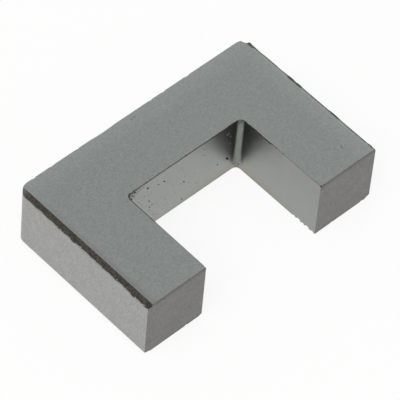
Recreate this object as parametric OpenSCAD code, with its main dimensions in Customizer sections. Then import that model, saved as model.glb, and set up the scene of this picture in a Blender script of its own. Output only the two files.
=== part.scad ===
// Ferrite U core: one pressed and sintered half of a transformer or choke core.
// The U lies flat. X runs across the two legs, the pole faces look towards -Y, and Z is up.
// The origin is in the middle of the footprint, on the face that the core rests on.

/* [Core] */
// Width across both legs
core_width = 25.6; // [18:0.1:60]
// Depth from the pole faces to the back
core_depth = 15.9; // [10:0.1:40]
// Thickness of the bar that the U is made of
core_thickness = 6.3; // [3:0.1:20]

/* [Limbs] */
// Width of each leg
leg_width = 6.35; // [4:0.05:8]
// Width of the back bar that joins the legs
back_width = 6.3; // [4:0.05:8]

/* [Edges] */
// Fillet in the two inner corners of the window
window_fillet_r = 0.5; // [0.1:0.05:1.5]
// Radius of the two upright corners at the back
back_corner_r = 1.05; // [0.2:0.05:2]
// Chamfer along the outer edges of the legs, across the flat face
chamfer_across = 0.5; // [0.1:0.05:1]
// The same chamfer, down the side of the leg
chamfer_down = 0.22; // [0.1:0.01:1]

/* [Hidden] */
$fn = 96;

window_width = core_width - 2 * leg_width;
window_depth = core_depth - back_width;

// How far a cut runs past the surface that it opens
cut_past = 1;
as_fired_grey = [0.52, 0.55, 0.54];

// A rectangle that starts on the X axis, with its two far corners rounded.
module round_ended(width, depth, corner_r) {
    translate([-width / 2, 0]) square([width, depth - corner_r]);
    translate([-width / 2 + corner_r, 0]) square([width - 2 * corner_r, depth]);
    for (side = [-1, 1])
        translate([side * (width / 2 - corner_r), depth - corner_r]) circle(corner_r);
}

// The U seen from above. The window is the outline's own shape, smaller, cut in from the pole faces.
module u_outline() {
    difference() {
        round_ended(core_width, core_depth, back_corner_r);
        translate([0, -cut_past]) round_ended(window_width, window_depth + cut_past, window_fillet_r);
    }
}

// The corner that the die leaves off a leg: its section in X and Z, with the leg's sharp edge at the origin.
module chamfer_section() {
    polygon([
        [-chamfer_across, 0],
        [0, -chamfer_down],
        [cut_past, -chamfer_down],
        [cut_past, cut_past],
        [-chamfer_across, cut_past]
    ]);
}

// One chamfer, on the upper edge of the right leg, all the way from pole face to back.
module leg_chamfer() {
    translate([core_width / 2, core_depth + cut_past, core_thickness])
        rotate([90, 0, 0]) linear_extrude(core_depth + 2 * cut_past) chamfer_section();
}

// Both legs have the chamfer, on the upper edge and on the lower one.
module leg_chamfers() {
    for (mirror_x = [0, 1], mirror_z = [0, 1])
        translate([0, 0, mirror_z * core_thickness])
            mirror([0, 0, mirror_z]) mirror([mirror_x, 0, 0]) leg_chamfer();
}

module u_core() {
    color(as_fired_grey)
        translate([0, -core_depth / 2, 0])
            difference() {
                linear_extrude(core_thickness) u_outline();
                leg_chamfers();
            }
}

u_core();
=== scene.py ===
# %% [markdown]
# # A ferrite U core
# This lesson makes the picture of one U core: a grey ceramic part, pressed from metal oxide powder
# and fired hard. A coil sits on its legs, and a second core closes the magnetic circuit at the two
# ground leg ends.
# The exact solid comes from the CAD step. It is loaded first and stays put, as a fixed frame to
# measure from.

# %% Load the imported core
import math
import random
import bmesh
import bpy
from mathutils import Euler, Matrix, Vector


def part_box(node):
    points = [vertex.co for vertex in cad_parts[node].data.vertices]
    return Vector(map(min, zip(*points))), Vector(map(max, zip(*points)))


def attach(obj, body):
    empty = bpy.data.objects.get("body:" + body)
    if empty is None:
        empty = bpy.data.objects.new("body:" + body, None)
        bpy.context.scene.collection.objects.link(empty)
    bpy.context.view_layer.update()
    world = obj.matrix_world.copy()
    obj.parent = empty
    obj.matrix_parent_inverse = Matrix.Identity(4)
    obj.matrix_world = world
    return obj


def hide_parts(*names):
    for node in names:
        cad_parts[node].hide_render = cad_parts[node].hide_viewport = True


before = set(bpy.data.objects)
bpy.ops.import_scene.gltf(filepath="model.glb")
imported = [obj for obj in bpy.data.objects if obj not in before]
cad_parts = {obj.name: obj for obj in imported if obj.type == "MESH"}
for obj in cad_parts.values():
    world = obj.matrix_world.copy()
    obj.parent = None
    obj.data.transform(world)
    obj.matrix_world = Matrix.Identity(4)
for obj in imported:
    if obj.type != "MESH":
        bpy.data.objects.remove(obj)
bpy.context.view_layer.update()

MM = 0.001
cad_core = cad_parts["u_core"]
core_low, core_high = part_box("u_core")
core_middle = (core_low + core_high) / 2
print("Packed core in mm:", [round(length / MM, 2) for length in core_high - core_low])

# %% [markdown]
# Sizes that later steps need are read off the solid, so the picture follows if the part is made to
# another size.
# A flat face tells where it lies by its normal and its middle, and a rounding by where the flat
# before it ends. A normal counts as straight along an axis if almost all of it lies along that axis.
# The chamfers along the legs begin at the rim of the broad face and end on the outer side.

# %% Measure the window, the corners and the chamfers
left, front, bottom = core_low
right, back, top = core_high
near = 0.01 * MM
straight = 0.999
faces = [(face.normal, face.center) for face in cad_core.data.polygons]
points = [vertex.co for vertex in cad_core.data.vertices]
window_back = max(middle.y for normal, middle in faces if normal.y < -straight)
window_right = min(abs(middle.x) for normal, middle in faces if abs(normal.x) > straight)
window_left = -window_right
back_wall_end = max(abs(point.x) for point in points if abs(point.y - window_back) < near)
window_round = window_right - back_wall_end
corner_round = right - max(abs(point.x) for point in points if point.y > back - near)
chamfer_in = max(point.x for point in points if point.z > top - near)
chamfer_low = max(point.z for point in points if point.x > right - near)
for name, length in (
    ("Window half width", window_right),
    ("Window back wall at y", window_back),
    ("Window fillet", window_round),
    ("Back corner rounding", corner_round),
    ("Chamfer across", right - chamfer_in),
    ("Chamfer down", top - chamfer_low),
):
    print(name, "in mm:", round(length / MM, 2))

# %% [markdown]
# ## The camera
# The core was photographed from its front left and from well above, with a long lens that keeps
# edges almost parallel.
# The angles come from fitting a pinhole camera to the straight edges in the photograph.
# The camera is turned about the middle of the core, then pushed sideways, down and back along its
# own axes.

# %% Set the camera
azimuth, elevation, roll = (math.radians(angle) for angle in (-47.234, 51.377, 5.599))
turn = Euler((math.pi / 2 - elevation, 0, azimuth)).to_matrix().to_4x4()
turn = turn @ Matrix.Rotation(roll, 4, "Z")
framing = Vector((0.3525, -0.6436, 324.8)) * MM
camera_data = bpy.data.cameras.new("photo_camera")
camera_data.sensor_width = 36
camera_data.lens = 352.5
camera = bpy.data.objects.new("photo_camera", camera_data)
camera.matrix_world = Matrix.Translation(core_middle) @ turn @ Matrix.Translation(framing)
bpy.context.scene.collection.objects.link(camera)
bpy.context.scene.camera = camera
bpy.context.scene.view_settings.view_transform = "Standard"
print("Camera stands at, mm:", [round(length / MM, 1) for length in camera.matrix_world.translation])

# %% [markdown]
# ## Helpers for materials
# Colours are written as sRGB hex, the way a picture shows them, and one function turns them into
# linear light.
# A second function adds a shader node with its settings, and links each input that is given another
# node's output.

# %% Colour and node helpers
def linear(hex_colour):
    channels = [int(hex_colour[start:start + 2], 16) / 255 for start in (1, 3, 5)]
    return [c / 12.92 if c <= 0.04045 else ((c + 0.055) / 1.055) ** 2.4 for c in channels] + [1]


def add(tree, kind, inputs, **settings):
    node = tree.nodes.new("ShaderNode" + kind)
    for name, value in settings.items():
        setattr(node, name, value)
    for name, value in inputs.items():
        if isinstance(value, bpy.types.NodeSocket):
            tree.links.new(value, node.inputs[name])
        else:
            node.inputs[name].default_value = value
    return node


print("A middle grey in linear light:", round(linear("#808080")[0], 3))

# %% [markdown]
# ## The paper and the room
# The core lies on white paper in a bright, even room, as in a catalogue.
# Ferrite is a dark mirror at heart, so most of what it shows is the white around it.
# The paper is one large square. It lies a hundredth of a millimetre under the core, so that no two
# faces share a plane.

# %% Lay the paper
floor_half = 1.5
floor_mesh = bpy.data.meshes.new("paper_floor")
floor_corners = [
    (x * floor_half, y * floor_half, bottom - near) for x, y in ((-1, -1), (1, -1), (1, 1), (-1, 1))
]
floor_mesh.from_pydata(floor_corners, [], [(0, 1, 2, 3)])
floor = bpy.data.objects.new("paper_floor", floor_mesh)
bpy.context.scene.collection.objects.link(floor)
print("Paper is", 2 * floor_half, "m wide")

# %% [markdown]
# Light Path tells who is looking: the core's reflections see the paper as plain white.
# The camera sees it mostly white, with enough of its true shading left to keep a soft shadow.
# That white would wash out the contact shadow where core and paper touch, so an Ambient Occlusion
# node with a very short reach paints that shadow back in, as a painted contact shadow.

# %% Make the paper white to the camera
paper_white = 0.86
contact_reach = 0.05 * MM


def seen_white(tree, camera_share):
    path = add(tree, "LightPath", {})
    mirrored = add(
        tree, "Math", {0: path.outputs["Is Glossy Ray"], 1: path.outputs["Is Transmission Ray"]}
    )
    share = add(
        tree, "Math",
        {0: path.outputs["Is Camera Ray"], 1: camera_share, 2: mirrored.outputs[0]},
        operation="MULTIPLY_ADD",
    )
    return share.outputs[0]


paper = bpy.data.materials.new("white paper")
paper.use_nodes = True
tree = paper.node_tree
tree.nodes.clear()
shaded = add(tree, "BsdfDiffuse", {"Color": linear("#f4f4f2")})
# Painted contact shadow: the AO dims the paper's white close to the core.
painted_contact_shadow = add(tree, "AmbientOcclusion", {"Distance": contact_reach})
white = add(tree, "Emission", {"Color": linear("#ffffff"), "Strength": painted_contact_shadow.outputs["AO"]})
mixed = add(
    tree, "MixShader",
    {0: seen_white(tree, paper_white), 1: shaded.outputs[0], 2: white.outputs[0]},
)
add(tree, "OutputMaterial", {"Surface": mixed.outputs[0]})
paper.cycles.emission_sampling = "NONE"
floor_mesh.materials.append(paper)
print("Paper shader has", len(tree.nodes), "nodes")

# %% [markdown]
# The room gives most of the light, from all round. One large soft lamp above the left side gives it
# a direction. Together they light a level grey card to about the grey that is written for it.
# The room and the paper are found only by rays that happen to reach them, not sampled as lamps are.
# That lets a mirrored room be whiter than the room that lights.

# %% Light the room
room_light = 0.65
room = bpy.data.worlds.new("white room")
room.use_nodes = True
bpy.context.scene.world = room
tree = room.node_tree
tree.nodes.clear()
strength = add(
    tree, "MapRange", {"Value": seen_white(tree, 1), "To Min": room_light, "To Max": 1}
)
background = add(
    tree, "Background", {"Color": linear("#ffffff"), "Strength": strength.outputs[0]}
)
add(tree, "OutputWorld", {"Surface": background.outputs[0]})
room.cycles.sampling_method = "NONE"

lamp_data = bpy.data.lights.new("soft_lamp", "AREA")
lamp_data.shape = "SQUARE"
lamp_data.size = 0.5
lamp_data.energy = 2.2
lamp = bpy.data.objects.new("soft_lamp", lamp_data)
lamp.location = Vector((-0.35, -0.05, 0.55))
lamp.rotation_euler = (core_middle - lamp.location).to_track_quat("-Z", "Y").to_euler()
bpy.context.scene.collection.objects.link(lamp)
print("Room light", room_light, "and a lamp of", round(lamp_data.energy, 1), "W")

# %% [markdown]
# A polished ferrite wall seen at this slant returns about three tenths of the light, and that light
# is mostly polarised. A wall that stands square to it hardly returns such light again. That would
# explain the two black triangles that the photograph shows in the window's right corner.
# Cycles doesn't trace polarisation, so reflections of reflections are left out by hand.

# %% Leave out the second reflection
bpy.context.scene.cycles.glossy_bounces = 0
print("Glossy bounces:", bpy.context.scene.cycles.glossy_bounces)

# %% [markdown]
# ## The finishes
# The whole core is one manganese zinc ferrite, but each face has had its own handling.
# The refractive index of such oxides is about 2.5, so even a dark face shines. It is no metal:
# metallic stays 0.
# One function starts a finish. A second gives the patterns that all finishes share: fine grain, and
# broader patches from the kiln's air.
# Crystals are a hundredth of a millimetre wide, too fine to show here, so the grain is drawn about
# thirteen times coarser, or as a finish asks.
# A third function builds the shader. The grain gives it bump, and the patches make it shine a
# little unevenly.
# A Mix node has sockets of several types under the same names, so they are picked by number.

# %% Grain and shine
FACTOR, VALUE_A, VALUE_B, COLOUR_A, COLOUR_B = 0, 2, 3, 6, 7
MIXED_VALUE, MIXED = 0, 2
ferrite_ior = 2.5
uneven_shine = 0.08


def new_finish(name):
    material = bpy.data.materials.new(name)
    material.use_nodes = True
    tree = material.node_tree
    tree.nodes.clear()
    return material, tree, add(tree, "TexCoord", {}).outputs["Object"]


def grained(tree, place, dark, light, tint, grain_size=0.13 * MM, patch_size=0.9 * MM):
    grain = add(
        tree, "TexNoise",
        {"Vector": place, "Scale": 1 / grain_size, "Detail": 2, "Roughness": 0.6},
    ).outputs[0]
    grain = add(
        tree, "MapRange", {"Value": grain, "From Min": 0.3, "From Max": 0.7}
    ).outputs[0]
    patch = add(
        tree, "TexNoise", {"Vector": place, "Scale": 1 / patch_size, "Detail": 3}
    ).outputs[0]
    patch = add(
        tree, "MapRange", {"Value": patch, "From Min": 0.35, "From Max": 0.75}
    ).outputs[0]
    colour = add(
        tree, "Mix", {FACTOR: grain, COLOUR_A: linear(dark), COLOUR_B: linear(light)},
        data_type="RGBA",
    ).outputs[MIXED]
    colour = add(
        tree, "Mix", {FACTOR: patch, COLOUR_A: colour, COLOUR_B: linear(tint)},
        data_type="RGBA", blend_type="MULTIPLY",
    ).outputs[MIXED]
    return grain, patch, colour


def shine(tree, grain, patch, colour, bump_depth, roughness, ior=ferrite_ior, level=0.5):
    bump = add(tree, "Bump", {"Height": grain, "Strength": 1, "Distance": bump_depth})
    smoother = roughness * (1 - uneven_shine)
    rougher = roughness * (1 + uneven_shine)
    uneven = add(tree, "MapRange", {"Value": patch, "To Min": smoother, "To Max": rougher})
    shader = add(
        tree, "BsdfPrincipled",
        {
            "Base Color": colour, "Roughness": uneven.outputs[0], "IOR": ior,
            "Specular IOR Level": level, "Normal": bump.outputs[0],
        },
    )
    add(tree, "OutputMaterial", {"Surface": shader.outputs[0]})
    return shader


print("Ferrite's refractive index:", ferrite_ior)

# %% [markdown]
# The broad faces met the press punches, and were then tumbled with the other cores. They are matt
# and slate grey.
# Tumbling rubs a face most along its rim, so the grey grows paler over the last millimetres at the
# back and right. The left leg was rubbed least, and stays a little darker all over.

# %% Tumbled broad faces
rubbed_width = 2.5 * MM
punch_face, tree, place = new_finish("tumbled punch face")
grain, patch, colour = grained(tree, place, "#1c2b28", "#55615f", "#fcefe4")
axes = add(tree, "SeparateXYZ", {"Vector": place})
to_right = add(tree, "Math", {0: right, 1: axes.outputs["X"]}, operation="SUBTRACT").outputs[0]
to_back = add(tree, "Math", {0: back, 1: axes.outputs["Y"]}, operation="SUBTRACT").outputs[0]
to_rim = add(tree, "Math", {0: to_right, 1: to_back}, operation="MINIMUM").outputs[0]
at_rim = add(
    tree, "MapRange", {"Value": to_rim, "From Max": rubbed_width, "To Min": 0.2, "To Max": 0},
    interpolation_type="SMOOTHSTEP",
).outputs[0]
all_over = add(
    tree, "MapRange",
    {"Value": axes.outputs["X"], "From Min": left, "From Max": right, "To Min": 0, "To Max": 0.08},
).outputs[0]
rubbed = add(tree, "Math", {0: at_rim, 1: all_over}).outputs[0]
colour = add(
    tree, "Mix", {FACTOR: rubbed, COLOUR_A: colour, COLOUR_B: linear("#7c8684")},
    data_type="RGBA",
).outputs[MIXED]
print("Rim rubbed paler over", round(rubbed_width / MM, 1), "mm")

# %% [markdown]
# Where no tumbling stone reaches, some of the dark skin from the kiln is left, as a ragged strip
# along an edge.
# One function darkens a colour by the distance from such an edge, with noise to fray the strip.
# Where the noise has its middle value, a half, the strip is whole over half its width and thins out
# over the other half.

# %% A ragged strip of kiln skin
fray = 0.8
fray_size = 0.4 * MM


def skin_strip(tree, place, colour, distance, width, strength):
    share = add(tree, "Math", {0: distance, 1: width}, operation="DIVIDE").outputs[0]
    rag = add(
        tree, "TexNoise", {"Vector": place, "Scale": 1 / fray_size, "Detail": 3}
    ).outputs[0]
    ragged = add(tree, "Math", {0: rag, 1: fray, 2: share}, operation="MULTIPLY_ADD").outputs[0]
    strip = add(
        tree, "MapRange",
        {
            "Value": ragged, "From Min": 0.5 + fray / 2, "From Max": 1 + fray / 2,
            "To Min": strength, "To Max": 0,
        },
    ).outputs[0]
    return add(
        tree, "Mix", {FACTOR: strip, COLOUR_A: colour, COLOUR_B: linear("#1d1a17")},
        data_type="RGBA",
    ).outputs[MIXED]


print("Strips fray in steps of about", round(fray_size / MM, 1), "mm")

# %% [markdown]
# On the broad face such a strip runs along the left chamfer. It is strongest over the front half,
# and fades out towards the back.

# %% Skin on the broad face
from_chamfer = add(tree, "Math", {0: axes.outputs["X"], 1: chamfer_in}).outputs[0]
towards_back = add(
    tree, "MapRange",
    {"Value": axes.outputs["Y"], "From Max": back - 0.5 * MM, "To Min": 0.6, "To Max": 0},
).outputs[0]
colour = skin_strip(tree, place, colour, from_chamfer, 0.5 * MM, towards_back)
shine(tree, grain, patch, colour, bump_depth=0.002 * MM, roughness=0.5)
print(punch_face.name, "has", len(tree.nodes), "nodes")

# %% [markdown]
# The outer sides slid along the die as the core was pushed out, and the tumbling has left them a
# paler grey.
# A narrow strip of skin is left on the left side, right under the chamfer.

# %% Tumbled outer sides
die_face, tree, place = new_finish("tumbled die face")
grain, patch, colour = grained(tree, place, "#5f615e", "#8b8d89", "#fbf8f2")
axes = add(tree, "SeparateXYZ", {"Vector": place})
from_left = add(tree, "Math", {0: axes.outputs["X"], 1: left}, operation="SUBTRACT").outputs[0]
below = add(tree, "Math", {0: chamfer_low, 1: axes.outputs["Z"]}, operation="SUBTRACT").outputs[0]
away = add(tree, "Math", {0: from_left, 1: below}, operation="MAXIMUM").outputs[0]
colour = skin_strip(tree, place, colour, away, width=0.15 * MM, strength=0.8)
shine(tree, grain, patch, colour, bump_depth=0.002 * MM, roughness=0.5)
print(die_face.name, "has", len(tree.nodes), "nodes")

# %% [markdown]
# Tumbling never reaches into the window. Its walls keep the dense, dark and half polished skin of
# the die, and almost all their light is a blurred reflection. So a stain there has to tint the
# shine, more than the colour under it.
# Low round the right corner there is a faint brown stain. The sum of X and Y tells how far the
# corner is, because along either wall one of the two stays the same.
# At the top of the left corner the shine is darkened, partly by dirt and partly as a painted dark
# reflection. The function for ragged strips makes it, by the distance from there along the walls and
# down.

# %% Stain, dirt and painted dark reflection in the window
stain_height = 1 * MM
stain_reach = 8 * MM
dirt_and_shade_reach = 2.2 * MM


def window_tint(tree, place):
    x, y, z = add(tree, "SeparateXYZ", {"Vector": place}).outputs
    low = add(
        tree, "MapRange",
        {"Value": z, "From Min": bottom, "From Max": bottom + stain_height, "To Min": 1, "To Max": 0},
    ).outputs[0]
    corner = window_right + window_back
    around = add(tree, "Math", {0: x, 1: y}).outputs[0]
    close = add(
        tree, "MapRange",
        {"Value": around, "From Min": corner - stain_reach, "From Max": corner - stain_reach / 3},
    ).outputs[0]
    stain = add(tree, "Math", {0: low, 1: close}, operation="MULTIPLY").outputs[0]
    tint = add(
        tree, "Mix", {FACTOR: stain, COLOUR_A: linear("#fcfffa"), COLOUR_B: linear("#fcf0dd")},
        data_type="RGBA",
    ).outputs[MIXED]
    # Partly dirt, partly painted dark reflection: the shine darkens near the top of the left corner.
    beside = add(tree, "Math", {0: x, 1: y}, operation="SUBTRACT").outputs[0]
    below = add(tree, "Math", {0: beside, 1: z}, operation="SUBTRACT").outputs[0]
    from_corner = add(tree, "Math", {0: below, 1: window_back + top - window_left}).outputs[0]
    return skin_strip(tree, place, tint, from_corner, dirt_and_shade_reach, strength=0.35)


print("Stain reaches", round(stain_reach / MM, 1), "mm and dirt", round(dirt_and_shade_reach / MM, 1), "mm")

# %% [markdown]
# The colour under the shine is near black on the walls. Towards the top of walls and fillets it is
# darkened further, as painted shade.
# The flat walls, burnished by the die, shine more than a typical oxide. Their grain is drawn only
# three times coarser than the crystals, because all it does there is blur the reflection.
# The fillets are dull and less dark. The left one is darker and has lost most of its shine: partly a
# stain, partly a painted dark reflection.

# %% Window walls and fillets
def window_finish(name, dark, light, fade, fade_from, grain_size, **surface):
    material, tree, place = new_finish(name)
    grain, patch, colour = grained(tree, place, dark, light, "#fbf8f0", grain_size)
    height = add(tree, "SeparateXYZ", {"Vector": place}).outputs["Z"]
    # Painted shade: the colour darkens towards the top of each wall and fillet.
    painted_top_shade = add(
        tree, "MapRange", {"Value": height, "From Min": fade_from, "From Max": top, "To Max": fade}
    ).outputs[0]
    colour = add(
        tree, "Mix", {FACTOR: painted_top_shade, COLOUR_A: colour, COLOUR_B: linear("#050604")},
        data_type="RGBA",
    ).outputs[MIXED]
    shader = shine(tree, grain, patch, colour, **surface)
    tree.links.new(window_tint(tree, place), shader.inputs["Specular Tint"])
    print(name, "has", len(tree.nodes), "nodes")
    return material


window_wall = window_finish(
    "burnished window wall", "#0c0e0b", "#444840", fade=0.85, fade_from=bottom,
    grain_size=0.03 * MM, bump_depth=0.005 * MM, roughness=0.32, ior=3.35,
)
window_fillet = window_finish(
    "plain window fillet", "#5f665e", "#878f87", fade=0.92, fade_from=top - 1 * MM,
    grain_size=0.13 * MM, bump_depth=0.003 * MM, roughness=0.5, level=0.25,
)
# Partly a stain, partly a painted dark reflection: the left fillet's darker, duller finish.
stained_and_shaded_fillet = window_finish(
    "stained and shaded window fillet", "#2b2b24", "#5c5c50", fade=0.5, fade_from=top - 1 * MM,
    grain_size=0.13 * MM, bump_depth=0.003 * MM, roughness=0.6, level=0.06,
)

# %% [markdown]
# The pole faces are ground flat, so that two cores meet without a gap. Grinding opens the pores and
# dulls the shine.
# The wheel's marks run across both legs. They are streaks some hundredths of a millimetre wide,
# drawn about a tenth wide so that they show.
# Just under the upper edge the wheel left a strip of the older, darker skin.

# %% Ground pole faces
pole_face, tree, place = new_finish("ground pole face")
streaks = add(tree, "Mapping", {"Vector": place, "Scale": (0.6, 1, 1)}).outputs[0]
grain, patch, colour = grained(tree, streaks, "#4e4d4c", "#6e6d6c", "#fbf8f4")
height = add(tree, "SeparateXYZ", {"Vector": place}).outputs["Z"]
from_top = add(tree, "Math", {0: top, 1: height}, operation="SUBTRACT").outputs[0]
colour = skin_strip(tree, place, colour, from_top, width=0.5 * MM, strength=0.55)
shine(tree, grain, patch, colour, bump_depth=0.002 * MM, roughness=0.6, level=0.25)
print(pole_face.name, "has", len(tree.nodes), "nodes")

# %% [markdown]
# The chamfers along the legs keep the brown black skin of the kiln, rough and almost without shine.
# A mask measures how far across the chamfer a point lies, from 0 at the broad face to 1 at the
# side, with noise to fray it.
# On the left leg the skin is whole down to its ragged lower rim, and thin only at the back corner.

# %% Chamfers with kiln skin
chamfer_fray = 0.4
chamfer_skin, tree, place = new_finish("chamfer with kiln skin")
grain, patch, skin = grained(
    tree, place, "#161511", "#47443b", "#e8dfce", grain_size=0.17 * MM, patch_size=0.5 * MM
)
bare = grained(tree, place, "#848c8a", "#9ba3a1", "#f8f4ee")[2]
axes = add(tree, "SeparateXYZ", {"Vector": place})
from_middle = add(tree, "Math", {0: axes.outputs["X"]}, operation="ABSOLUTE").outputs[0]
across = add(
    tree, "MapRange", {"Value": from_middle, "From Min": chamfer_in, "From Max": right}
).outputs[0]
rag = add(tree, "TexNoise", {"Vector": place, "Scale": 1 / (0.5 * MM), "Detail": 4}).outputs[0]
ragged = add(
    tree, "Math", {0: rag, 1: chamfer_fray, 2: across}, operation="MULTIPLY_ADD"
).outputs[0]
whole = add(
    tree, "MapRange", {"Value": ragged, "From Min": 1.12, "From Max": 1.2, "To Min": 1, "To Max": 0}
).outputs[0]
at_corner = add(
    tree, "MapRange",
    {
        "Value": axes.outputs["Y"], "From Min": back - 1 * MM, "From Max": back - 0.3 * MM,
        "To Min": 1, "To Max": 0.62,
    },
).outputs[0]
on_left_leg = add(tree, "Math", {0: whole, 1: at_corner}, operation="MULTIPLY").outputs[0]
print("Chamfer is", round((right - chamfer_in) / MM, 2), "mm wide from above")

# %% [markdown]
# On the right leg the skin is rubbed off but for the outer rim, and two places where more of it is
# left. Each such place is a hump along Y: level over its inner half, 0 at its ends.
# The highest of the humps is added to the ragged measure, so there the skin reaches further across.
# It is thinner than on the left leg, and some grey shows through.

# %% Skin left on the right leg
kept = 0
for skin_y, half_length, reach in ((7.15 * MM, 0.7 * MM, 0.5), (1.8 * MM, 1.1 * MM, 0.25)):
    away = add(tree, "Math", {0: axes.outputs["Y"], 1: skin_y}, operation="SUBTRACT").outputs[0]
    away = add(tree, "Math", {0: away}, operation="ABSOLUTE").outputs[0]
    hump = add(
        tree, "MapRange",
        {
            "Value": away, "From Min": half_length / 2, "From Max": half_length,
            "To Min": reach, "To Max": 0,
        },
    ).outputs[0]
    kept = add(tree, "Math", {0: hump, 1: kept}, operation="MAXIMUM").outputs[0]
further = add(tree, "Math", {0: kept, 1: ragged}).outputs[0]
on_right_leg = add(
    tree, "MapRange", {"Value": further, "From Min": 0.85, "From Max": 0.95, "To Max": 0.8}
).outputs[0]
is_right = add(tree, "Math", {0: axes.outputs["X"], 1: 0}, operation="GREATER_THAN").outputs[0]
covered = add(
    tree, "Mix", {FACTOR: is_right, VALUE_A: on_left_leg, VALUE_B: on_right_leg}
).outputs[MIXED_VALUE]
colour = add(
    tree, "Mix", {FACTOR: covered, COLOUR_A: bare, COLOUR_B: skin}, data_type="RGBA"
).outputs[MIXED]
shine(tree, grain, patch, colour, bump_depth=0.006 * MM, roughness=0.65, level=0.06)
print(chamfer_skin.name, "has", len(tree.nodes), "nodes")

# %% [markdown]
# Handling breaks a sharp ceramic edge into a narrow, brownish band.
# A chip shows the ferrite from inside: dull, granular and nearly black. The same dark finish is also
# painted on the window's rim by the fillets, as shade.

# %% Worn edges and chips
worn_edge, tree, place = new_finish("worn edge")
grain, patch, colour = grained(
    tree, place, "#352f2a", "#655e55", "#e6dccf", patch_size=0.5 * MM
)
shine(tree, grain, patch, colour, bump_depth=0.004 * MM, roughness=0.6, level=0.1)

broken, tree, place = new_finish("broken ferrite and painted shade")
grain, patch, colour = grained(tree, place, "#24211d", "#3e3a34", "#f4ead8")
shine(tree, grain, patch, colour, bump_depth=0.004 * MM, roughness=0.7, level=0.06)

finishes = [
    punch_face, die_face, window_wall, window_fillet, stained_and_shaded_fillet, pole_face, chamfer_skin,
    worn_edge, broken,
]
PUNCH, DIE, WALL, FILLET, STAIN_AND_SHADE, POLE, CHAMFER, EDGE, BROKEN_AND_SHADE = range(len(finishes))
print("Finishes:", ", ".join(material.name for material in finishes))

# %% [markdown]
# ## The core's form
# The piece starts as a copy of the solid. The CAD mesh is made of triangles, so points that
# coincide are merged, and triangles that lie flat beside each other are joined to whole faces.
# The window's walls are then cut level a little below the broad face: the rim above the cut is worn,
# and by the fillets it is painted dark as shade.
# Two upright cuts, one across the side walls and one across the back wall, mark how far that painted
# shade on the rim reaches from the right fillet.

# %% Copy the solid and cut the window's rim
rim_height = 0.15 * MM
dark_length = 3.6 * MM
dark_front = window_back - dark_length
dark_left = window_right - dark_length
left_fillet_end = window_left + window_round
slant = 0.1
body = bmesh.new()
body.from_mesh(cad_core.data)
bmesh.ops.remove_doubles(body, verts=body.verts, dist=near / 100)
bmesh.ops.dissolve_limit(
    body, angle_limit=math.radians(0.5), verts=body.verts, edges=body.edges
)


def in_window(face):
    middle = face.calc_center_median()
    between_legs = abs(middle.x) < window_right + near
    before_back = front + near < middle.y < window_back + near
    return between_legs and before_back and abs(face.normal.z) < slant


for cut_point, cut_normal in (
    ((0, 0, top - rim_height), (0, 0, 1)),
    ((0, dark_front, 0), (0, 1, 0)),
    ((dark_left, 0, 0), (1, 0, 0)),
):
    walls = [face for face in body.faces if in_window(face)]
    parts = walls + list({edge for face in walls for edge in face.edges})
    parts += list({vertex for face in walls for vertex in face.verts})
    bmesh.ops.bisect_plane(
        body, geom=parts, dist=near / 100, plane_co=cut_point, plane_no=cut_normal
    )
print("Whole faces:", len(body.faces))

# %% [markdown]
# Each face is given its finish by the way it faces and by where it lies.
# The rim is worn along the back wall. On the left wall and the left fillet, and for some millimetres
# on both walls beside the right fillet, it is painted black as shade. The rest of the right wall's
# rim is clean.
# The outer sixteen degrees of the right fillet shine like the walls that they run into.

# %% Give each face its finish
shining_angle = math.radians(16)
for face in body.faces:
    normal = face.normal
    middle = face.calc_center_median()
    in_rim = middle.z > top - rim_height
    on_back_wall = normal.y < -straight
    on_right_wall = normal.x < -straight
    by_left_fillet = middle.x < left_fillet_end
    by_right_fillet = on_back_wall and middle.x > dark_left
    by_right_fillet = by_right_fillet or (on_right_wall and middle.y > dark_front)
    flat = max(abs(normal.x), abs(normal.y)) > math.cos(shining_angle)
    if abs(normal.z) > straight:
        face.material_index = PUNCH
    elif abs(normal.z) > slant:
        face.material_index = CHAMFER
    elif middle.y < front + near:
        face.material_index = POLE
    elif not in_window(face):
        face.material_index = DIE
    # Painted shade: the rim by the fillets takes the dark finish of broken ferrite.
    elif in_rim and (by_left_fillet or by_right_fillet):
        face.material_index = BROKEN_AND_SHADE
    elif in_rim and on_back_wall:
        face.material_index = EDGE
    # The left fillet takes its stain with a painted dark reflection.
    elif by_left_fillet and abs(normal.x) <= straight:
        face.material_index = STAIN_AND_SHADE
    else:
        face.material_index = WALL if flat else FILLET
print("Faces with a worn rim:", sum(face.material_index in (EDGE, BROKEN_AND_SHADE) for face in body.faces))

# %% [markdown]
# No ceramic edge is perfectly sharp. The window's left rim and the fillet that it runs into have
# lost the most. There a narrow flat takes the edge's place. By the fillet it is painted dark, as
# shade, and further on it is worn grey.
# A bevel makes it, as deep as it is wide. Then the points on the walls are raised, since the real
# break goes less far down than across, but for the last one at the pole, where the edge is worn
# deeper.

# %% Break the window's left rim
rim_across = 0.08 * MM
rim_down = 0.02 * MM
worn_down = 0.07 * MM


def on_left_rim(point, height):
    return abs(point.z - height) < near and window_left - near < point.x < left_fillet_end + near


left_rim = [
    edge for edge in body.edges if all(on_left_rim(vertex.co, top) for vertex in edge.verts)
]
rim_flat = bmesh.ops.bevel(
    body, geom=left_rim, offset=rim_across, segments=1, profile=0.5, affect="EDGES",
    material=BROKEN_AND_SHADE,
)
# Painted shade: near the back the flat keeps the dark finish; further forward it turns grey.
for face in rim_flat["faces"]:
    if face.calc_center_median().y < dark_front:
        face.material_index = PUNCH
for vertex in body.verts:
    if on_left_rim(vertex.co, top - rim_across):
        vertex.co.z = top - (rim_down if vertex.co.y > front + near else worn_down)
print("Edges along the left rim:", len(left_rim))

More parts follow.
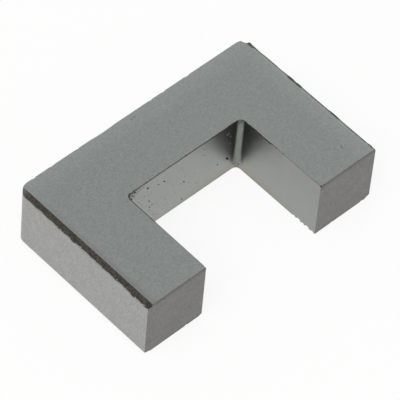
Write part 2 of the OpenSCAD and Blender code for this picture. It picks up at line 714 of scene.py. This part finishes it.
# %% [markdown]
# Every other edge that turns by more than fifty degrees gets a rounding of two hundredths of a
# millimetre, but for those that the core lies on and the one at its back.
# The edges are noted first, with the way that each one points, because the crumbs of a later step
# sit on the long ones.
# The upright edges of the poles were ground with the pole faces and stay clean, so they take that
# finish. The rounding at a chamfer's outer rim takes the chamfer's finish.

# %% Break the edges
edge_break = 0.02 * MM
sharp_angle = math.radians(50)
least_length = 1 * MM


def is_broken(edge):
    under = all(vertex.co.z < bottom + near for vertex in edge.verts)
    behind = all(vertex.co.y > back - near for vertex in edge.verts)
    return edge.calc_face_angle() > sharp_angle and not under and not behind


sharp = [edge for edge in body.edges if is_broken(edge)]
long_edges = []
for edge in sharp:
    first, last = (vertex.co.copy() for vertex in edge.verts)
    outward = sum((face.normal for face in edge.link_faces), Vector()).normalized()
    beside_chamfer = max(abs(first.x), abs(last.x)) > right - near
    if edge.calc_length() > least_length and abs(outward.z) > slant and not beside_chamfer:
        long_edges.append((first, last, outward))
bmesh.ops.bevel(
    body, geom=sharp, offset=edge_break, segments=2, profile=0.5, affect="EDGES",
    clamp_overlap=True, material=EDGE,
)
for face in body.faces:
    normal = face.normal
    upright = abs(normal.z) < slant / 2 and min(abs(normal.x), abs(normal.y)) > slant
    if face.material_index == EDGE and upright:
        face.material_index = POLE
    elif face.material_index == EDGE and abs(face.calc_center_median().x) > right - edge_break:
        face.material_index = CHAMFER
print("Edges broken:", len(sharp), "of which long ones that may crumble:", len(long_edges))

# %% [markdown]
# ## Chips, wear and pits
# Each mark is a small rough lump that is cut away from the core, so that it is a true hollow.
# A lump is a ball with its points pushed in and out by a seeded dice. It can be stretched along an
# edge, or lean.
# It is placed by the point where it bites, the way the surface faces there, and how deep it goes.
# Three more functions give a point on a chamfer, the way that a chamfer faces, and a point on the
# rim of a rounded back corner.

# %% Lumps and where they sit
dice = random.Random(25)
LUMP_POINTS = 42


def add_lump(
    lumps, point, outward, radius, depth, finish, stretch=(1, 1, 1), rough=0.12, lean=0
):
    middle = point + outward.normalized() * (radius - depth)
    spin = Euler([dice.uniform(0, 2 * math.pi) for axis in range(3)]).to_matrix()
    ball = bmesh.ops.create_icosphere(lumps, subdivisions=2, radius=radius)["verts"]
    for vertex in ball:
        pushed = spin @ vertex.co * dice.uniform(1 - rough, 1 + rough)
        pushed *= Vector(stretch)
        vertex.co = middle + pushed - Vector((lean * pushed.z, 0, 0))
    for face in {face for vertex in ball for face in vertex.link_faces}:
        face.material_index = finish


def on_chamfer(side, share, y):
    x = chamfer_in + share * (right - chamfer_in)
    return Vector((side * x, y, top - share * (top - chamfer_low)))


def out_of_chamfer(side):
    return Vector((side * (top - chamfer_low), 0, right - chamfer_in))


def on_back_corner(side, angle):
    x = right - corner_round + corner_round * math.cos(angle)
    y = back - corner_round + corner_round * math.sin(angle)
    share = max(0, (x - chamfer_in) / (right - chamfer_in))
    return Vector((side * x, y, top - share * (top - chamfer_low)))


print("A lump has", LUMP_POINTS, "points")

# %% [markdown]
# The marks that stand out in the photograph come first, each at its own place, in millimetres.
# Two lumps of one set must not overlap, so wear, chips and pits are separate sets, cut one after
# another.
# Wear is smooth and keeps the grey of the face. It has nibbled at the back edge and at the right
# chamfer's rim, flattened the back right corner and blunted the inner corner of the left pole.

# %% Worn places seen in the photograph
wear = bmesh.new()
for x, depth, longer in (
    (-11, 0.1, 1), (-9, 0.06, 2), (-6.2, 0.06, 1.5), (-3.4, 0.08, 8), (1.95, 0.06, 1.5),
    (3.4, 0.07, 1.5), (6.1, 0.07, 2),
):
    spot = Vector((x * MM, back, top))
    add_lump(
        wear, spot, Vector((0, 1, 1)), 0.22 * MM, depth * MM, PUNCH,
        stretch=(longer, 1, 1), rough=0.04,
    )
flat_at = math.radians(44)
facing = Vector((math.cos(flat_at), math.sin(flat_at), 0.4))
add_lump(wear, on_back_corner(1, flat_at), facing, 0.5 * MM, 0.26 * MM, PUNCH, rough=0.05)
for y, depth, longer in ((3.5, 0.045, 6), (6, 0.05, 6)):
    spot = Vector((right, y * MM, chamfer_low))
    add_lump(
        wear, spot, Vector((1, 0, 1)), 0.15 * MM, depth * MM, CHAMFER,
        stretch=(1, longer, 1), rough=0.04,
    )
blunt = Vector((window_left, front + 0.15 * MM, top))
add_lump(wear, blunt, Vector((1, -0.2, 1)), 0.4 * MM, 0.13 * MM, PUNCH, rough=0.04)
print("Worn places:", len(wear.verts) // LUMP_POINTS)

# %% [markdown]
# Chips are fresh breaks. The left chamfer's lower rim has dark ones that reach down the side, two
# pale nicks, and a dark break where it meets the pole face.

# %% Chips on the left chamfer
chips = bmesh.new()
for y, radius, depth, longer in (
    (-7.6, 0.3, 0.06, 1.6), (-6.1, 0.3, 0.09, 1.5), (1.12, 0.16, 0.06, 3), (2.85, 0.14, 0.05, 2),
):
    spot = Vector((left, y * MM, chamfer_low))
    add_lump(
        chips, spot, Vector((-1, 0, 0.2)), radius * MM, depth * MM, BROKEN_AND_SHADE,
        stretch=(1, longer, 1), rough=0.06,
    )
for share, y, radius in ((0.85, -4.12, 0.09), (0.9, 0.25, 0.2)):
    spot = on_chamfer(-1, share, y * MM)
    add_lump(chips, spot, out_of_chamfer(-1), radius * MM, 0.03 * MM, DIE)
spot = on_chamfer(-1, 0.6, front)
add_lump(
    chips, spot, Vector((0, -1, 0.5)), 0.25 * MM, 0.08 * MM, BROKEN_AND_SHADE, stretch=(1.3, 1, 1)
)
print("Chips so far:", len(chips.verts) // LUMP_POINTS)

# %% [markdown]
# Other chips sit on the window's edges: low on the right wall, along the top of the back wall and
# of the right wall, and at the inner corner of the right pole face.
# The last ones sit along the poles' lower edges, which the camera just sees.

# %% Chips on the window and the poles
for y, radius in ((-5.4, 0.1), (-5.95, 0.17), (-6.5, 0.09), (-7, 0.16), (-7.6, 0.1)):
    spot = Vector((window_right, y * MM, bottom))
    add_lump(
        chips, spot, Vector((-1, 0, -1)), radius * MM, 0.85 * radius * MM, EDGE,
        stretch=(1, 1.5, 1),
    )
for x, depth, longer in ((-5.53, 0.035, 5.8), (-4.3, 0.03, 4), (0.2, 0.065, 1.5), (5.2, 0.04, 9)):
    spot = Vector((x * MM, window_back, top))
    add_lump(
        chips, spot, Vector((0, -1, 1)), 0.1 * MM, depth * MM, BROKEN_AND_SHADE, stretch=(longer, 1, 1)
    )
for y, radius, depth, longer, finish in (
    (-0.1, 0.15, 0.05, 9, BROKEN_AND_SHADE), (-2, 0.12, 0.035, 4, BROKEN_AND_SHADE), (-2.6, 0.1, 0.08, 1, EDGE),
):
    spot = Vector((window_right, y * MM, top))
    add_lump(
        chips, spot, Vector((-1, 0, 1)), radius * MM, depth * MM, finish,
        stretch=(1, longer, 1), rough=0.05,
    )
inner_corner = Vector((window_right, front, top))
add_lump(chips, inner_corner, Vector((-1, -1, 1)), 0.14 * MM, 0.13 * MM, BROKEN_AND_SHADE)
for x, radius in ((8.4, 0.08), (11.9, 0.1), (-6.55, 0.12), (-8.2, 0.1), (-12.4, 0.15)):
    spot = Vector((x * MM, front, bottom))
    add_lump(
        chips, spot, Vector((0, -1, -1)), radius * MM, 0.7 * radius * MM, EDGE,
        stretch=(1.5, 1, 1),
    )
print("Chips:", len(chips.verts) // LUMP_POINTS)

# %% [markdown]
# Pits are pores that the pressing left open. The window's back wall shows a score of them, mostly
# towards its left end.
# They are placed by the distance from the window's left wall and from the broad face above.
# The camera sees this wall slantwise, and yet they look round. So on the wall they are tall ovals
# that lean left.
# Three by the left fillet show less: they take that fillet's finish, partly a stain and partly a
# painted dark reflection.

# %% Pits in the back wall
pits = bmesh.new()
pit_depth = 0.6
into_window = Vector((0, -1, 0))
oval = (0.65, 1, 1.5)
lean = 0.53
for finish, places in (
    (BROKEN_AND_SHADE, (
        (2.42, 0.97, 0.14), (4.33, 1.6, 0.11), (3.65, 1.45, 0.08), (6.65, 3.5, 0.11),
        (6.35, 3.55, 0.06), (2.7, 2.9, 0.1), (3.15, 3.65, 0.07), (2.79, 3.75, 0.09),
        (6.6, 5.8, 0.08), (2.1, 1.8, 0.06), (11.69, 4.44, 0.2), (10.55, 4.35, 0.09),
        (0.45, 0.1, 0.1), (0.68, 0.2, 0.1), (0.93, 0.31, 0.13), (1.9, 0.41, 0.06),
        (1.5, 0.3, 0.05),
    )),
    (STAIN_AND_SHADE, ((0.69, 0.57, 0.08), (0.87, 0.8, 0.07), (0.58, 0.95, 0.12))),
):
    for along, down, radius in places:
        spot = Vector((window_left + along * MM, window_back, top - down * MM))
        add_lump(
            pits, spot, into_window, radius * MM, pit_depth * radius * MM, finish,
            stretch=oval, rough=0.06, lean=lean,
        )
print("Pits in the back wall:", len(pits.verts) // LUMP_POINTS)

# %% [markdown]
# The broad face has a few shallow pits of its own, placed by X and Y. Tumbling has worn them as
# grey as the face.
# More sit at the foot and at the head of the right fillet, placed by the angle round it, in
# degrees, and the height.

# %% Pits in the broad face and the fillet
up = Vector((0, 0, 1))
for x, y, radius in (
    (10.8, -6, 0.15), (10.1, -5.75, 0.07), (9.9, -5.4, 0.07), (8.7, -5.9, 0.07),
    (-0.3, 7.45, 0.12), (-0.65, 7.4, 0.1), (-3.4, 5.15, 0.09), (12.1, -3.2, 0.07),
):
    spot = Vector((x * MM, y * MM, top))
    add_lump(
        pits, spot, up, radius * MM, pit_depth * radius * MM, PUNCH, stretch=(1.3, 1, 1)
    )
fillet_foot = Vector((window_right - window_round, window_back - window_round, bottom))
for angle, height, radius in (
    (82, 0.55, 0.08), (50, 0.7, 0.05), (20, 0.45, 0.06), (40, 5.95, 0.06), (65, 5.75, 0.05),
):
    turned = Vector((math.cos(math.radians(angle)), math.sin(math.radians(angle)), 0))
    spot = fillet_foot + turned * window_round + up * height * MM
    add_lump(pits, spot, -turned, radius * MM, pit_depth * radius * MM, EDGE)
print("Pits:", len(pits.verts) // LUMP_POINTS)

# %% [markdown]
# Finer pores crowd the left end of the back wall and thin out to the right.
# The wall is shared into narrow columns with one pore in each, at a height that the dice picks, so
# no two overlap. Further along, more and more columns stay empty.

# %% Fine pores in the back wall
pores = bmesh.new()
column = 0.115 * MM
first_pore = 0.6 * MM
last_pore = 12.2 * MM
margin = 0.4 * MM
for step in range(int((last_pore - first_pore) / column)):
    along = first_pore + step * column
    down = dice.uniform(margin, top - bottom - margin)
    radius = dice.uniform(0.03, 0.055) * MM
    if dice.random() < 1.1 - along / last_pore:
        spot = Vector((window_left + along, window_back, top - down))
        add_lump(
            pores, spot, into_window, radius, 0.7 * radius, BROKEN_AND_SHADE, stretch=oval, lean=lean
        )
print("Pores:", len(pores.verts) // LUMP_POINTS)

# %% [markdown]
# Small crumbs are lost all along the edges. A walk along each long edge takes one away after every
# quarter of a millimetre to a millimetre, as the dice says.

# %% Crumbs along the edges
crumbs = bmesh.new()
for first, last, outward in long_edges:
    length = (last - first).length
    along = (last - first).normalized()
    walked = dice.uniform(0.3, 0.6) * MM
    while walked < length - 0.3 * MM:
        radius = dice.uniform(0.04, 0.085) * MM
        depth = radius * dice.uniform(0.6, 0.9)
        add_lump(crumbs, first + along * walked, outward, radius, depth, EDGE)
        walked += dice.uniform(0.25, 1.1) * MM
print("Crumbs:", len(crumbs.verts) // LUMP_POINTS)

# %% [markdown]
# Pressing also leaves flash: a little powder squeezed out beside the punch, which the kiln fires
# dark and hard.
# Most of it broke off the right chamfer. A horn by the back corner and low fins along the outer rim
# are left.
# A few specks of pale powder have fired on to the back wall near its right end, where they show
# against the dark.
# All these lumps are joined to the core, and their depth is how much of them sits inside it.

# %% Flash left by the punch
flash = bmesh.new()
horn = 0.18 * MM
horn_inside = 2 * horn - 0.125 * MM
spot = on_chamfer(1, 0.66, 7.15 * MM)
add_lump(
    flash, spot, out_of_chamfer(1), horn, horn_inside, CHAMFER, stretch=(1, 1.5, 1), rough=0.06
)
fin = 0.085 * MM
for y, longer in ((2.15, 6), (1.2, 5), (-3.05, 9), (-7.4, 4)):
    spot = on_chamfer(1, 0.88, y * MM)
    add_lump(flash, spot, up, fin, fin, CHAMFER, stretch=(0.5, longer, 1.2), rough=0.08)
speck = 0.062 * MM
for along, down in ((11.41, 1.08), (11.59, 1.03), (11.82, 1.55), (11.83, 2.53)):
    spot = Vector((window_left + along * MM, window_back, top - down * MM))
    add_lump(flash, spot, into_window, speck, speck, DIE)
print("Flash and specks:", len(flash.verts) // LUMP_POINTS)

# %% [markdown]
# The sets now become Boolean modifiers on the core, one after another. The Manifold solver is quick,
# keeps the mesh closed, and carries the finish of each lump into the hollow that it leaves.
# The result replaces the core's mesh, so no modifier and no cutting lump stays in the scene.

# %% Cut the marks
def marked_by(lumps, name, operation):
    mesh = bpy.data.meshes.new(name)
    lumps.to_mesh(mesh)
    for material in finishes:
        mesh.materials.append(material)
    tool = bpy.data.objects.new(name, mesh)
    bpy.context.scene.collection.objects.link(tool)
    step = core.modifiers.new(name, "BOOLEAN")
    step.operation = operation
    step.object = tool
    step.solver = "MANIFOLD"
    step.material_mode = "INDEX"
    return tool


core_mesh = bpy.data.meshes.new("ferrite_core")
body.to_mesh(core_mesh)
for material in finishes:
    core_mesh.materials.append(material)
core = bpy.data.objects.new("ferrite_core", core_mesh)
bpy.context.scene.collection.objects.link(core)
tools = [marked_by(flash, "flash", "UNION")]
for name, lumps in (
    ("wear", wear), ("chips", chips), ("pits", pits), ("pores", pores), ("crumbs", crumbs),
):
    tools.append(marked_by(lumps, name, "DIFFERENCE"))
evaluated = core.evaluated_get(bpy.context.evaluated_depsgraph_get())
core.data = bpy.data.meshes.new_from_object(evaluated)
core.modifiers.clear()
for tool in tools:
    bpy.data.objects.remove(tool)
print("Faces after cutting:", len(core.data.polygons))

# %% [markdown]
# Only the fillets and the back corners are rounded, so only faces that stand upright and look
# neither along X nor along Y are shaded smooth. All others stay flat right up to their edges.

# %% Shade the roundings smooth
for face in core.data.polygons:
    upright = abs(face.normal.z) < 0.01
    face.use_smooth = upright and max(abs(face.normal.x), abs(face.normal.y)) < straight
smooth_faces = sum(face.use_smooth for face in core.data.polygons)
print("Smooth faces:", smooth_faces, "of", len(core.data.polygons))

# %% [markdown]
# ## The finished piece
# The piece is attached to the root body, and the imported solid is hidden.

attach(core, "root")
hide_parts("u_core")
